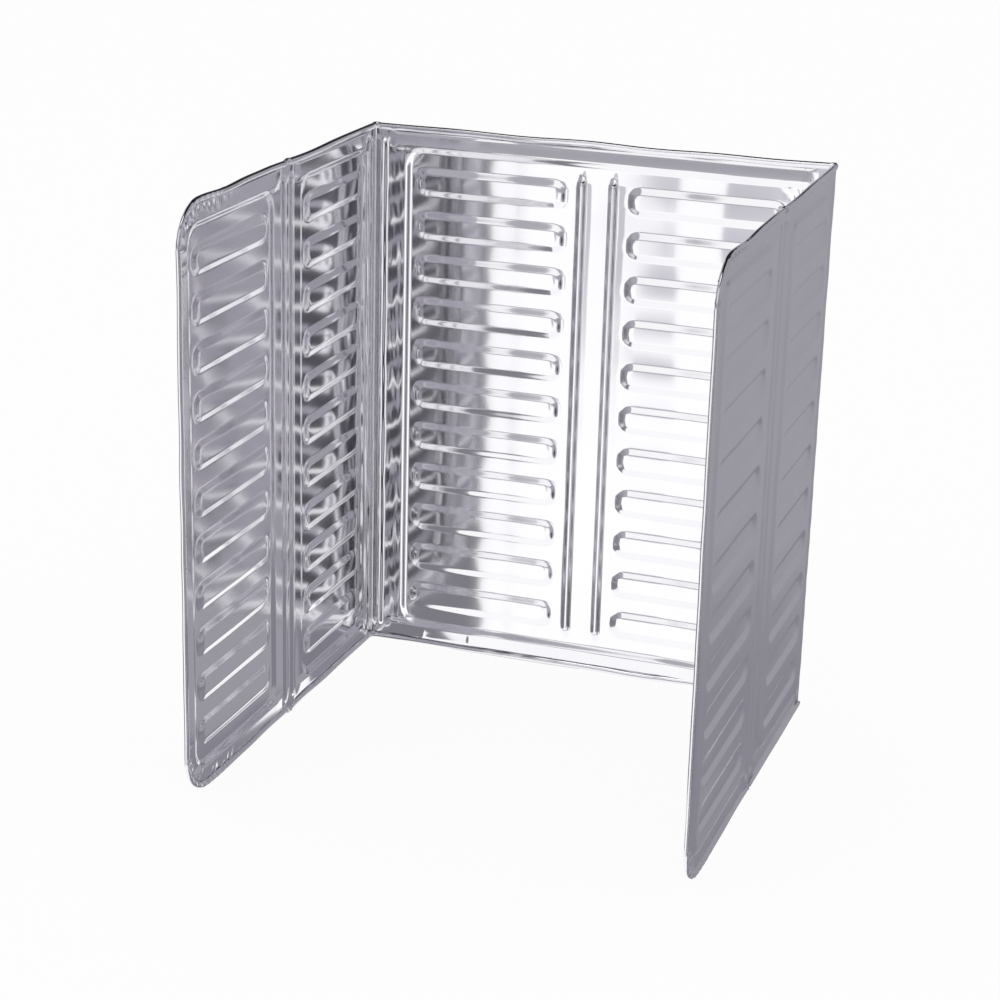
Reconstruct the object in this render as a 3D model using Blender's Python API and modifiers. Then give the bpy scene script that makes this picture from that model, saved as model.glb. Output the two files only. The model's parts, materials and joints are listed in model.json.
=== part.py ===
# Foil stove splash guard: one blank of aluminium foil, embossed, hemmed all round and
# folded at four upright creases so that it stands round a ring of the stove.
# Metres, +Z up. The back leaf faces -Y, and the wings run from it towards -Y.
# The origin is on the worktop, in the middle of the guard's outline.

import math

import bmesh
import bpy
from mathutils import Vector
from mathutils.geometry import delaunay_2d_cdt

# Leaves, measured from crease to crease or from crease to outer edge
SHEET_HEIGHT = 0.325
BACK_WIDTH = 0.274
INNER_WIDTH = 0.125
OUTER_WIDTH = 0.133
OUTER_CORNER_RADIUS = 0.025
WING_ANGLE = 90.0

# Foil and the air between solids that are one sheet on the real guard
FOIL_THICKNESS = 0.0002
SEAM_GAP = 0.0003
CREASE_GAP = 0.0004

# Hem, the edge of the foil turned round into a flat roll
HEM_REACH = 0.0034
HEM_CLEARANCE = 0.0004
HEM_BEND_DEPTH = 0.0004
HEM_BEND_FLAT = 0.0006
HEM_TUCK = 0.0012
HEM_CREASE_GAP = 0.002
HEM_CORNER_STEPS = 6

# Fold beads, a rounded ridge on each side of every crease: a steep shoulder, then a
# shallow one up to the crest
FOLD_BEAD_WIDTH = 0.009
FOLD_BEAD_FOOT = 0.0006
FOLD_BEAD_END = 0.008
FOLD_BEAD_END_FLAT = 0.001
FOLD_BEAD_CORNER_STEPS = 3
SHOULDER_WIDTH = 0.0015
SHOULDER_RISE = 0.0013
CREST_WIDTH = 0.0013
CREST_RISE = 0.0007

# Frame, the step down from the border band to the field that carries the pads
FRAME_BAND = 0.012
FRAME_BACK_MARGIN = 0.019
FRAME_CORNER_MARGIN = 0.013
FRAME_FOLD_MARGIN = 0.017
FRAME_FRONT_MARGIN = 0.0115
FRAME_CORNER_RADIUS = 0.013
FRAME_CORNER_STEPS = 4
FRAME_WALL = 0.003
FRAME_DEPTH = 0.002

# Pads, the rows of long raised panels with round ends
PAD_PITCH = 0.0259
PAD_HEIGHT = 0.018
PAD_END_CLEARANCE = 0.005
PAD_END_FLAT = 0.001
PAD_CORNER_STEPS = 2
PAD_WALL = 0.003
PAD_RISE = 0.002
PAD_SIDE_GAP = 0.003

# Stiffening beads, the two narrow ribs up the middle of the back
RIB_SPACING = 0.0188
RIB_WIDTH = 0.006
RIB_END_GAP = 0.008
RIB_END_FLAT = 0.0006
RIB_CORNER_STEPS = 2
RIB_WALL = 0.002
RIB_RISE = 0.002
RIB_PAD_GAP = 0.005

# Widths and places that follow from the sizes above
WING_LENGTH = INNER_WIDTH + OUTER_WIDTH
OUTER_FACE_DEPTH = FRAME_DEPTH + FOIL_THICKNESS / 2
BACK_PLANE_Y = (WING_LENGTH - OUTER_FACE_DEPTH) / 2
LIP_OFFSET = FOIL_THICKNESS + HEM_CLEARANCE
FOLD_BEAD_EDGE = CREASE_GAP + FOLD_BEAD_WIDTH
PANEL_EDGE = FOLD_BEAD_EDGE + SEAM_GAP
FIELD_EDGE = FRAME_BAND + FRAME_WALL
PAD_SPAN = SHEET_HEIGHT - 2 * (FIELD_EDGE + PAD_END_CLEARANCE)
PAD_ROWS = 1 + int((PAD_SPAN - PAD_HEIGHT) / PAD_PITCH)
RIB_END = FIELD_EDGE + RIB_END_GAP
PAD_CORNER_RADIUS = (PAD_HEIGHT - PAD_END_FLAT) / 2
RIB_CORNER_RADIUS = (RIB_WIDTH - RIB_END_FLAT) / 2
FOLD_BEAD_CORNER_RADIUS = (FOLD_BEAD_WIDTH - FOLD_BEAD_END_FLAT) / 2 - FOLD_BEAD_FOOT

# Settings of the triangulation: keep what is inside an outline and outside its holes,
# and take two corners as one where they lie closer than this
INSIDE_LESS_HOLES = 2
SAME_CORNER = 0.000001

# Finishes seen in the photograph: (colour, roughness)
BRIGHT_FOIL = ((0.78, 0.77, 0.80), 0.16)
CREASED_FOIL = ((0.72, 0.71, 0.75), 0.22)
HEM_FOIL = ((0.82, 0.81, 0.84), 0.20)
SATIN_FOIL = ((0.60, 0.59, 0.63), 0.34)


def clear_scene():
    for item in list(bpy.data.objects):
        bpy.data.objects.remove(item, do_unlink=True)


def make_collection(name):
    collection = bpy.data.collections.new(name)
    bpy.context.scene.collection.children.link(collection)
    return collection


def foil_material(name, finish):
    colour, roughness = finish
    material = bpy.data.materials.new(name)
    material.use_nodes = True
    shader = material.node_tree.nodes["Principled BSDF"]
    shader.inputs["Base Color"].default_value = (*colour, 1.0)
    shader.inputs["Metallic"].default_value = 1.0
    shader.inputs["Roughness"].default_value = roughness
    return material


def make_crease(name, location, turn, parent=None):
    crease = bpy.data.objects.new(name, None)
    crease.empty_display_type = "SINGLE_ARROW"
    crease.empty_display_size = SHEET_HEIGHT
    crease.location = location
    crease.rotation_euler = (0.0, 0.0, math.radians(turn))
    crease.parent = parent
    GUARD.objects.link(crease)
    return crease


def foil_object(name, sheet, crease, mirrored, finish):
    """Give an open sheet, drawn flat with its inner face up, the foil's thickness."""
    if mirrored:
        bmesh.ops.scale(sheet, vec=Vector((-1.0, 1.0, 1.0)), verts=sheet.verts)
    bmesh.ops.remove_doubles(sheet, verts=sheet.verts, dist=FOIL_THICKNESS / 10)
    bmesh.ops.recalc_face_normals(sheet, faces=sheet.faces)
    mesh = bpy.data.meshes.new(name)
    sheet.to_mesh(mesh)
    sheet.free()
    mesh.materials.append(foil_material(name, finish))
    item = bpy.data.objects.new(name, mesh)
    item.parent = crease
    item.rotation_euler = (math.pi / 2, 0.0, 0.0)
    GUARD.objects.link(item)
    thickness = item.modifiers.new("foil_thickness", "SOLIDIFY")
    thickness.thickness = FOIL_THICKNESS
    thickness.offset = 0.0
    thickness.use_even_offset = True
    return item


def flat_face(sheet, left, right, bottom, top, level):
    """A rectangle that lies in the sheet at the given level above its border band."""
    made = bmesh.ops.create_grid(sheet, x_segments=1, y_segments=1, size=0.5)
    corners = made["verts"]
    middle = Vector(((left + right) / 2, (bottom + top) / 2, level))
    bmesh.ops.scale(sheet, vec=Vector((right - left, top - bottom, 1.0)), verts=corners)
    bmesh.ops.translate(sheet, vec=middle, verts=corners)
    return corners[0].link_faces[0]


def round_corners(sheet, face, radius, steps, beyond=None):
    """Round the corners of a flat face, all of them or those past a given width."""
    corners = [vert for vert in face.verts if beyond is None or vert.co.x > beyond]
    before = set(sheet.faces) - {face}
    bmesh.ops.bevel(
        sheet,
        geom=corners,
        offset=radius,
        offset_type="OFFSET",
        segments=steps,
        profile=0.5,
        affect="VERTICES",
    )
    return next(item for item in sheet.faces if item not in before)


def emboss(sheet, face, walls):
    """Push a face up or down inside sloping walls; returns the edges where they start."""
    others = set(sheet.edges)
    for width, rise in walls:
        bmesh.ops.inset_individual(
            sheet,
            faces=[face],
            thickness=width,
            depth=rise,
            use_even_offset=True,
        )
    return [edge for edge in sheet.edges if edge.is_boundary and edge not in others]


def open_face(sheet, face):
    """Take a face away and keep its edges."""
    rim = list(face.edges)
    bmesh.ops.delete(sheet, geom=[face], context="FACES_ONLY")
    return rim


def in_order(rim):
    """The corners of a closed outline, one after the other."""
    edge = rim[0]
    corner = edge.verts[0]
    corners = []
    while corner not in corners:
        corners.append(corner)
        edge = next(side for side in corner.link_edges if side in rim and side is not edge)
        corner = edge.other_vert(corner)
    return corners


def fill_between(sheet, rim, holes):
    """Foil between an outline and the shapes that stand inside it."""
    loops = [in_order(edges) for edges in [rim, *holes]]
    corners = [corner for loop in loops for corner in loop]
    place = {corner: number for number, corner in enumerate(corners)}
    outlines = [[place[corner] for corner in loop] for loop in loops]
    flat = [corner.co.xy for corner in corners]
    made = delaunay_2d_cdt(flat, [], outlines, INSIDE_LESS_HOLES, SAME_CORNER)
    for triangle in made[2]:
        sheet.faces.new([corners[number] for number in triangle])


def raised_shape(sheet, left, right, bottom, top, level, corner, steps, walls):
    """A raised shape with rounded corners; returns the edges where it leaves the field."""
    face = flat_face(sheet, left, right, bottom, top, level)
    face = round_corners(sheet, face, corner, steps)
    return emboss(sheet, face, walls)


def pad_column(sheet, left, right):
    """As many raised pads as the field holds, centred on the height of the sheet."""
    feet = []
    lowest = SHEET_HEIGHT / 2 - PAD_PITCH * (PAD_ROWS - 1) / 2
    for row in range(PAD_ROWS):
        middle = lowest + PAD_PITCH * row
        foot = raised_shape(
            sheet,
            left,
            right,
            middle - PAD_HEIGHT / 2,
            middle + PAD_HEIGHT / 2,
            -FRAME_DEPTH,
            PAD_CORNER_RADIUS,
            PAD_CORNER_STEPS,
            [(PAD_WALL, PAD_RISE)],
        )
        feet.append(foot)
    return feet


def stiffening_rib(sheet, middle):
    """One of the narrow ribs that stand between the two columns of the back."""
    return raised_shape(
        sheet,
        middle - RIB_WIDTH / 2,
        middle + RIB_WIDTH / 2,
        RIB_END,
        SHEET_HEIGHT - RIB_END,
        -FRAME_DEPTH,
        RIB_CORNER_RADIUS,
        RIB_CORNER_STEPS,
        [(RIB_WALL, RIB_RISE)],
    )


def embossed_panel(left, right, frame_left, frame_right, columns, ribs, rounded):
    """A leaf's embossed sheet: border band, frame and a field with pads and ribs."""
    sheet = bmesh.new()
    field_shapes = []
    for column_left, column_right in columns:
        field_shapes.extend(pad_column(sheet, column_left, column_right))
    for middle in ribs:
        field_shapes.append(stiffening_rib(sheet, middle))
    frame = flat_face(sheet, frame_left, frame_right, FRAME_BAND, SHEET_HEIGHT - FRAME_BAND, 0.0)
    frame = round_corners(sheet, frame, FRAME_CORNER_RADIUS, FRAME_CORNER_STEPS)
    frame_outside = emboss(sheet, frame, [(FRAME_WALL, -FRAME_DEPTH)])
    fill_between(sheet, open_face(sheet, frame), field_shapes)
    outline = flat_face(sheet, left, right, HEM_TUCK, SHEET_HEIGHT - HEM_TUCK, 0.0)
    if rounded:
        radius = OUTER_CORNER_RADIUS - HEM_TUCK
        outline = round_corners(sheet, outline, radius, HEM_CORNER_STEPS, beyond=left)
    fill_between(sheet, open_face(sheet, outline), [frame_outside])
    return sheet


def fold_bead(inner_edge, outer_edge):
    """The ridge on one side of a crease, with rounded ends short of the hems."""
    sheet = bmesh.new()
    foot = raised_shape(
        sheet,
        inner_edge + FOLD_BEAD_FOOT,
        outer_edge - FOLD_BEAD_FOOT,
        FOLD_BEAD_END,
        SHEET_HEIGHT - FOLD_BEAD_END,
        0.0,
        FOLD_BEAD_CORNER_RADIUS,
        FOLD_BEAD_CORNER_STEPS,
        [(SHOULDER_WIDTH, SHOULDER_RISE), (CREST_WIDTH, CREST_RISE)],
    )
    outline = flat_face(sheet, inner_edge, outer_edge, HEM_TUCK, SHEET_HEIGHT - HEM_TUCK, 0.0)
    fill_between(sheet, open_face(sheet, outline), [foot])
    return sheet


def hem_section(sheet, start, edge, inward):
    """The open section of the hem, across an edge of the sheet that runs along X."""
    bend = FOIL_THICKNESS / 2
    half_flat = HEM_BEND_FLAT / 2
    section = [
        (HEM_REACH, -LIP_OFFSET),
        (HEM_BEND_DEPTH, -LIP_OFFSET),
        (bend, -half_flat),
        (bend, half_flat),
        (HEM_BEND_DEPTH, LIP_OFFSET),
        (HEM_REACH, LIP_OFFSET),
    ]
    verts = [sheet.verts.new((start, edge + inward * reach, level)) for reach, level in section]
    return [sheet.edges.new(pair) for pair in zip(verts, verts[1:])]


def run_along(sheet, edges, along):
    """Carry the section straight on."""
    made = bmesh.ops.extrude_edge_only(sheet, edges=edges)["geom"]
    moved = [item for item in made if isinstance(item, bmesh.types.BMVert)]
    bmesh.ops.translate(sheet, vec=Vector(along), verts=moved)
    return [item for item in made if isinstance(item, bmesh.types.BMEdge)]


def turn_corner(sheet, edges, centre):
    """Carry the section a quarter turn clockwise round a corner of the sheet."""
    made = bmesh.ops.spin(
        sheet,
        geom=edges,
        cent=Vector(centre),
        axis=Vector((0.0, 0.0, 1.0)),
        angle=-math.pi / 2,
        steps=HEM_CORNER_STEPS,
        use_duplicate=False,
    )["geom_last"]
    return [item for item in made if isinstance(item, bmesh.types.BMEdge)]


def straight_hem(start, end, edge, inward):
    sheet = bmesh.new()
    section = hem_section(sheet, start, edge, inward)
    run_along(sheet, section, (end - start, 0.0, 0.0))
    return sheet


def wrapped_hem(start, end):
    """The hem of an outer leaf: along the top, down the front edge and back below."""
    sheet = bmesh.new()
    straight = end - start - OUTER_CORNER_RADIUS
    upright = SHEET_HEIGHT - 2 * OUTER_CORNER_RADIUS
    corner_x = end - OUTER_CORNER_RADIUS
    section = hem_section(sheet, start, SHEET_HEIGHT, -1.0)
    section = run_along(sheet, section, (straight, 0.0, 0.0))
    section = turn_corner(sheet, section, (corner_x, SHEET_HEIGHT - OUTER_CORNER_RADIUS, 0.0))
    section = run_along(sheet, section, (0.0, -upright, 0.0))
    section = turn_corner(sheet, section, (corner_x, OUTER_CORNER_RADIUS, 0.0))
    run_along(sheet, section, (-straight, 0.0, 0.0))
    return sheet


def make_back(crease):
    """The back leaf, drawn from its left crease to its right crease."""
    half = BACK_WIDTH / 2
    frame_half = half - FRAME_BACK_MARGIN
    pad_outer = frame_half - FRAME_WALL - PAD_SIDE_GAP
    pad_inner = RIB_SPACING / 2 + RIB_WIDTH / 2 + RIB_PAD_GAP
    panel = embossed_panel(
        -half + PANEL_EDGE,
        half - PANEL_EDGE,
        -frame_half,
        frame_half,
        [(-pad_outer, -pad_inner), (pad_inner, pad_outer)],
        [-RIB_SPACING / 2, RIB_SPACING / 2],
        False,
    )
    foil_object("back_panel", panel, crease, False, BRIGHT_FOIL)
    for side, mirrored in (("left", True), ("right", False)):
        bead = fold_bead(half - FOLD_BEAD_EDGE, half - CREASE_GAP)
        foil_object(f"{side}_corner_bead_back", bead, crease, mirrored, CREASED_FOIL)
    hem_end = half - HEM_CREASE_GAP
    top_hem = straight_hem(-hem_end, hem_end, SHEET_HEIGHT, -1.0)
    foil_object("back_top_hem", top_hem, crease, False, HEM_FOIL)
    bottom_hem = straight_hem(-hem_end, hem_end, 0.0, 1.0)
    foil_object("back_bottom_hem", bottom_hem, crease, False, HEM_FOIL)


def make_inner_leaf(side, crease, mirrored, finish):
    """The half of a wing between the corner crease and the crease in the wing."""
    frame_end = INNER_WIDTH - FRAME_FOLD_MARGIN
    pad_margin = FRAME_WALL + PAD_SIDE_GAP
    panel = embossed_panel(
        PANEL_EDGE,
        INNER_WIDTH - PANEL_EDGE,
        FRAME_CORNER_MARGIN,
        frame_end,
        [(FRAME_CORNER_MARGIN + pad_margin, frame_end - pad_margin)],
        [],
        False,
    )
    foil_object(f"{side}_inner_panel", panel, crease, mirrored, finish)
    corner_bead = fold_bead(CREASE_GAP, FOLD_BEAD_EDGE)
    foil_object(f"{side}_corner_bead_wing", corner_bead, crease, mirrored, CREASED_FOIL)
    middle_bead = fold_bead(INNER_WIDTH - FOLD_BEAD_EDGE, INNER_WIDTH - CREASE_GAP)
    foil_object(f"{side}_middle_bead_inner", middle_bead, crease, mirrored, CREASED_FOIL)
    hem_end = INNER_WIDTH - HEM_CREASE_GAP
    top_hem = straight_hem(HEM_CREASE_GAP, hem_end, SHEET_HEIGHT, -1.0)
    foil_object(f"{side}_inner_top_hem", top_hem, crease, mirrored, HEM_FOIL)
    bottom_hem = straight_hem(HEM_CREASE_GAP, hem_end, 0.0, 1.0)
    foil_object(f"{side}_inner_bottom_hem", bottom_hem, crease, mirrored, HEM_FOIL)


def make_outer_leaf(side, crease, mirrored, finish):
    """The half of a wing from the crease in the wing to its rounded front edge."""
    frame_end = OUTER_WIDTH - FRAME_FRONT_MARGIN
    pad_margin = FRAME_WALL + PAD_SIDE_GAP
    panel = embossed_panel(
        PANEL_EDGE,
        OUTER_WIDTH - HEM_TUCK,
        FRAME_FOLD_MARGIN,
        frame_end,
        [(FRAME_FOLD_MARGIN + pad_margin, frame_end - pad_margin)],
        [],
        True,
    )
    foil_object(f"{side}_outer_panel", panel, crease, mirrored, finish)
    middle_bead = fold_bead(CREASE_GAP, FOLD_BEAD_EDGE)
    foil_object(f"{side}_middle_bead_outer", middle_bead, crease, mirrored, CREASED_FOIL)
    hem = wrapped_hem(HEM_CREASE_GAP, OUTER_WIDTH)
    foil_object(f"{side}_outer_hem", hem, crease, mirrored, HEM_FOIL)


def make_wing(side, across, mirrored, finish):
    """A wing of two leaves; across is -1 for the left corner and 1 for the right."""
    corner_place = (across * BACK_WIDTH / 2, BACK_PLANE_Y, 0.0)
    corner = make_crease(f"{side}_corner_crease", corner_place, -across * WING_ANGLE)
    make_inner_leaf(side, corner, mirrored, finish)
    middle_place = (across * INNER_WIDTH, 0.0, 0.0)
    middle = make_crease(f"{side}_middle_crease", middle_place, 0.0, corner)
    make_outer_leaf(side, middle, mirrored, finish)


clear_scene()
GUARD = make_collection("foil_stove_splash_guard")
make_back(make_crease("back_leaf", (0.0, BACK_PLANE_Y, 0.0), 0.0))
make_wing("left", -1, True, BRIGHT_FOIL)
make_wing("right", 1, False, SATIN_FOIL)
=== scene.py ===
# %% [markdown]
# # A folding splash guard of embossed foil
#
# The real guard is one blank of aluminium foil. A press gives it rows of raised pads, a
# frame round every field of pads and a rounded ridge on each side of every crease; a hem
# is turned over all round, and four upright creases fold it into a U. Foil is a mirror
# that was rolled, so almost all of its look is in the shape of small slopes and in what
# stands around it. This lesson builds the slopes first and the studio second.

import json
import math

import bmesh
import bpy
import numpy as np
from mathutils import Matrix, Vector


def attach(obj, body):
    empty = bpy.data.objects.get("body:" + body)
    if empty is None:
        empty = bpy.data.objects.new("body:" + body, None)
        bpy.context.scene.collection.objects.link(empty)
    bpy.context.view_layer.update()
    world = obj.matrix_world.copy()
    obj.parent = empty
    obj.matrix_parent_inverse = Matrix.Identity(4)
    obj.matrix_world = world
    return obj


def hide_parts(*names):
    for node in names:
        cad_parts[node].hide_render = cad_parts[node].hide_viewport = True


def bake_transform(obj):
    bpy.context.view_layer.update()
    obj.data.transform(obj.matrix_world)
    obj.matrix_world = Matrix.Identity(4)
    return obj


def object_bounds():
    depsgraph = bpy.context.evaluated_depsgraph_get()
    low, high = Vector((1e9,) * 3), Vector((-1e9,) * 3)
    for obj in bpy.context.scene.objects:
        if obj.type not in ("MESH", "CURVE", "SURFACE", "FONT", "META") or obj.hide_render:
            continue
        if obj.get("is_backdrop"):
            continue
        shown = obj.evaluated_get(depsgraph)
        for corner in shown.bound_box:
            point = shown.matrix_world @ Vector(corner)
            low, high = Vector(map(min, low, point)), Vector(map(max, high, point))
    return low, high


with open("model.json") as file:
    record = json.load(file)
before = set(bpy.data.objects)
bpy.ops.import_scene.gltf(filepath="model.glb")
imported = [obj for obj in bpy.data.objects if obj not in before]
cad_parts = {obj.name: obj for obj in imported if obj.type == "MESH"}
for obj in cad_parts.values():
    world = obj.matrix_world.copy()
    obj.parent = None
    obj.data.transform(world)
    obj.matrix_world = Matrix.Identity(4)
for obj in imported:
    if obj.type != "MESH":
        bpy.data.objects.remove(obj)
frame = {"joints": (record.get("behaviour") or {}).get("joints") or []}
CAD_LOW, CAD_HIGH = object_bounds()
print("box of the packed part in mm", [round(side * 1000, 1) for side in CAD_HIGH - CAD_LOW])

# %% [markdown]
# ## The camera
#
# The photograph's view was found by fitting a camera to the ends of the creases and to
# the corners of the leaves. It stands right of the middle, looks down by 19 degrees and
# leans by a degree and a half. The picture is square, so Blender's 36 mm sensor spans it.

# %% Camera
CAMERA_PLACE = Vector((0.395, -1.17755, 0.5765))
CAMERA_YAW = -18.96
CAMERA_PITCH = 18.96
CAMERA_ROLL = -1.56
CAMERA_LENS = 86.94
SENSOR_WIDTH = 36.0
CLIP_RANGE = (0.05, 60.0)


def camera_axes(yaw, pitch, roll):
    """The camera's right, up and forward directions."""
    flat = Vector((math.sin(yaw), math.cos(yaw), 0.0))
    forward = flat * math.cos(pitch) - Vector((0.0, 0.0, math.sin(pitch)))
    level = forward.cross(Vector((0.0, 0.0, 1.0))).normalized()
    upright = level.cross(forward)
    right = level * math.cos(roll) - upright * math.sin(roll)
    return right, right.cross(forward), forward


def make_camera():
    data = bpy.data.cameras.new("photograph_camera")
    data.sensor_width = SENSOR_WIDTH
    data.lens = CAMERA_LENS
    data.clip_start, data.clip_end = CLIP_RANGE
    camera = bpy.data.objects.new("photograph_camera", data)
    bpy.context.scene.collection.objects.link(camera)
    angles = [math.radians(angle) for angle in (CAMERA_YAW, CAMERA_PITCH, CAMERA_ROLL)]
    right, upward, forward = camera_axes(*angles)
    turn = Matrix((right, upward, -forward)).transposed()
    camera.matrix_world = Matrix.Translation(CAMERA_PLACE) @ turn.to_4x4()
    bpy.context.scene.camera = camera


make_camera()
print("camera", round(CAMERA_PLACE.length, 3), "m from the part's origin, lens", CAMERA_LENS, "mm")

# %% [markdown]
# ## The blank, laid flat
#
# A press works on a flat blank, so the relief is drawn there: one number runs along the
# blank from the front edge of the left wing to the front edge of the right one, a second
# number runs up it, and the relief is a height towards the stove. Three flat walls then
# carry the blank to its place: the left wing, the back and the right wing. The widths of
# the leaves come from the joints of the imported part.

# %% Widths of the leaves and the three walls
folds = {joint["name"]: Vector(joint["pos_m"]) for joint in frame["joints"]}
HEIGHT = CAD_HIGH.z
OUTER_WIDTH = folds["left_middle_fold"].y - CAD_LOW.y
INNER_WIDTH = folds["left_corner_fold"].y - folds["left_middle_fold"].y
BACK_WIDTH = folds["right_corner_fold"].x - folds["left_corner_fold"].x
LEFT_MIDDLE = OUTER_WIDTH
LEFT_CORNER = LEFT_MIDDLE + INNER_WIDTH
RIGHT_CORNER = LEFT_CORNER + BACK_WIDTH
RIGHT_MIDDLE = RIGHT_CORNER + INNER_WIDTH
BLANK_LENGTH = RIGHT_MIDDLE + OUTER_WIDTH
UP = Vector((0.0, 0.0, 1.0))


def wall(corner, at, along):
    """The matrix that stands a stretch of the blank up: at is where the corner is on it."""
    along = Vector(along)
    inward = along.cross(UP)
    turn = Matrix((along, UP, inward)).transposed().to_4x4()
    foot = Vector((corner.x, corner.y, 0.0)) - along * at
    return Matrix.Translation(foot) @ turn


LEFT_WALL = wall(folds["left_corner_fold"], LEFT_CORNER, (0.0, 1.0, 0.0))
BACK_WALL = wall(folds["left_corner_fold"], LEFT_CORNER, (1.0, 0.0, 0.0))
RIGHT_WALL = wall(folds["right_corner_fold"], RIGHT_CORNER, (0.0, -1.0, 0.0))
print("blank in mm", round(BLANK_LENGTH * 1000, 1), "x", round(HEIGHT * 1000, 1))

# %% [markdown]
# ## The press tool as a formula
#
# Each embossed shape is a rectangle with round corners. Its distance formula is negative
# inside, so a ramp over the first few millimetres inside gives a smooth pressed wall.
# A formula was chosen over bevelled faces because a mirror shows every facet, and because
# the same formula can be asked for a height anywhere, on a fine mesh or a coarse one.

# %% Sizes of the press tool, in metres
FRAME_BAND = 0.012
FRAME_BACK_MARGIN = 0.019
FRAME_CORNER_MARGIN = 0.013
FRAME_FOLD_MARGIN = 0.017
FRAME_FRONT_MARGIN = 0.0115
FRAME_RADIUS = 0.013
FRAME_WALL = 0.0048
FRAME_DEPTH = 0.0013
PAD_ROWS = 11
PAD_PITCH = 0.0259
PAD_HEIGHT = 0.018
PAD_RADIUS = 0.0088
PAD_WALL = 0.0050
PAD_RISE = 0.0014
PAD_MARGIN = 0.006
RIB_SPACING = 0.0188
RIB_WIDTH = 0.006
RIB_END = 0.023
RIB_RADIUS = 0.0029
RIB_WALL = 0.0024
RIB_RISE = 0.002
RIDGE_INNER = 0.001
RIDGE_OUTER = 0.0088
RIDGE_END = 0.008
RIDGE_RADIUS = 0.0036
RIDGE_WALL = 0.0034
RIDGE_RISE = 0.0011
RIB_PAD_GAP = 0.005
WALL_ROUNDING = 0.25
CORNER_RADIUS = 0.025
SEAM_EDGE = 0.0095


def box_distance(along, up, left, right, bottom, top, radius):
    """Distance to a rectangle with round corners, negative inside it."""
    across = np.abs(along - (left + right) / 2) - (right - left) / 2 + radius
    upward = np.abs(up - (bottom + top) / 2) - (top - bottom) / 2 + radius
    outside = np.hypot(np.maximum(across, 0.0), np.maximum(upward, 0.0))
    return outside + np.minimum(np.maximum(across, upward), 0.0) - radius


def pressed(distance, width):
    """0 outside a shape, 1 inside it, and a smooth wall of the given width between."""
    share = np.clip(-distance / width, 0.0, 1.0)
    return share * share * (3.0 - 2.0 * share)


def pressed_straight(distance, width):
    """The same with a straight wall that is rounded only where it starts and ends."""
    share = np.clip(-distance / width, 0.0, 1.0)
    foot = np.minimum(share, WALL_ROUNDING)
    head = np.maximum(share - 1.0 + WALL_ROUNDING, 0.0)
    rise = share - foot + foot**2 / (2 * WALL_ROUNDING) - head**2 / (2 * WALL_ROUNDING)
    return rise / (1.0 - WALL_ROUNDING)


frame_slope = math.degrees(math.atan(1.5 * FRAME_DEPTH / FRAME_WALL))
pad_slope = math.degrees(math.atan(PAD_RISE / PAD_WALL / (1.0 - WALL_ROUNDING)))
print("steepest walls in degrees: frame", round(frame_slope, 1), "pad", round(pad_slope, 1))

# %% Where the shapes stand on the blank
def mirrored(spans):
    """The same stretches on the other wing."""
    return [(BLANK_LENGTH - right, BLANK_LENGTH - left) for left, right in spans]


wing_frames = [
    (FRAME_FRONT_MARGIN, LEFT_MIDDLE - FRAME_FOLD_MARGIN),
    (LEFT_MIDDLE + FRAME_FOLD_MARGIN, LEFT_CORNER - FRAME_CORNER_MARGIN),
]
back_frame = (LEFT_CORNER + FRAME_BACK_MARGIN, RIGHT_CORNER - FRAME_BACK_MARGIN)
FRAMES = wing_frames + [back_frame] + mirrored(wing_frames)
BACK_MIDDLE = BLANK_LENGTH / 2
RIBS = [BACK_MIDDLE - RIB_SPACING / 2, BACK_MIDDLE + RIB_SPACING / 2]
wing_columns = [(left + PAD_MARGIN, right - PAD_MARGIN) for left, right in wing_frames]
back_column = (back_frame[0] + PAD_MARGIN, RIBS[0] - RIB_WIDTH / 2 - RIB_PAD_GAP)
COLUMNS = wing_columns + [back_column] + mirrored([back_column]) + mirrored(wing_columns)
CREASES = [LEFT_MIDDLE, LEFT_CORNER, RIGHT_CORNER, RIGHT_MIDDLE]
PAD_MIDDLES = [HEIGHT / 2 + PAD_PITCH * (row - (PAD_ROWS - 1) / 2) for row in range(PAD_ROWS)]
print(len(FRAMES), "frames,", len(COLUMNS) * PAD_ROWS, "pads,", len(RIBS), "ribs")


# %% The pressed relief
def press_relief(along, up):
    """Height of the pressed shapes over the border band, in metres."""
    height = np.zeros_like(along)
    for left, right in FRAMES:
        edge = box_distance(along, up, left, right, FRAME_BAND, HEIGHT - FRAME_BAND, FRAME_RADIUS)
        height -= FRAME_DEPTH * pressed(edge, FRAME_WALL)
    lowest = PAD_MIDDLES[0]
    row = np.clip(np.round((up - lowest) / PAD_PITCH), 0, PAD_ROWS - 1)
    from_middle = up - lowest - row * PAD_PITCH
    for left, right in COLUMNS:
        edge = box_distance(
            along, from_middle, left, right, -PAD_HEIGHT / 2, PAD_HEIGHT / 2, PAD_RADIUS
        )
        height += PAD_RISE * pressed_straight(edge, PAD_WALL)
    for middle in RIBS:
        left, right = middle - RIB_WIDTH / 2, middle + RIB_WIDTH / 2
        edge = box_distance(along, up, left, right, RIB_END, HEIGHT - RIB_END, RIB_RADIUS)
        height += RIB_RISE * pressed(edge, RIB_WALL)
    for crease in CREASES:
        aside = np.abs(along - crease)
        edge = box_distance(
            aside, up, RIDGE_INNER, RIDGE_OUTER, RIDGE_END, HEIGHT - RIDGE_END, RIDGE_RADIUS
        )
        height += RIDGE_RISE * pressed(edge, RIDGE_WALL)
    return height


pad_top = press_relief(np.array([sum(COLUMNS[0]) / 2]), np.array([PAD_MIDDLES[0]]))
print("a pad's top stands", round(float(pad_top[0]) * 1000, 2), "mm over the border band")

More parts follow.
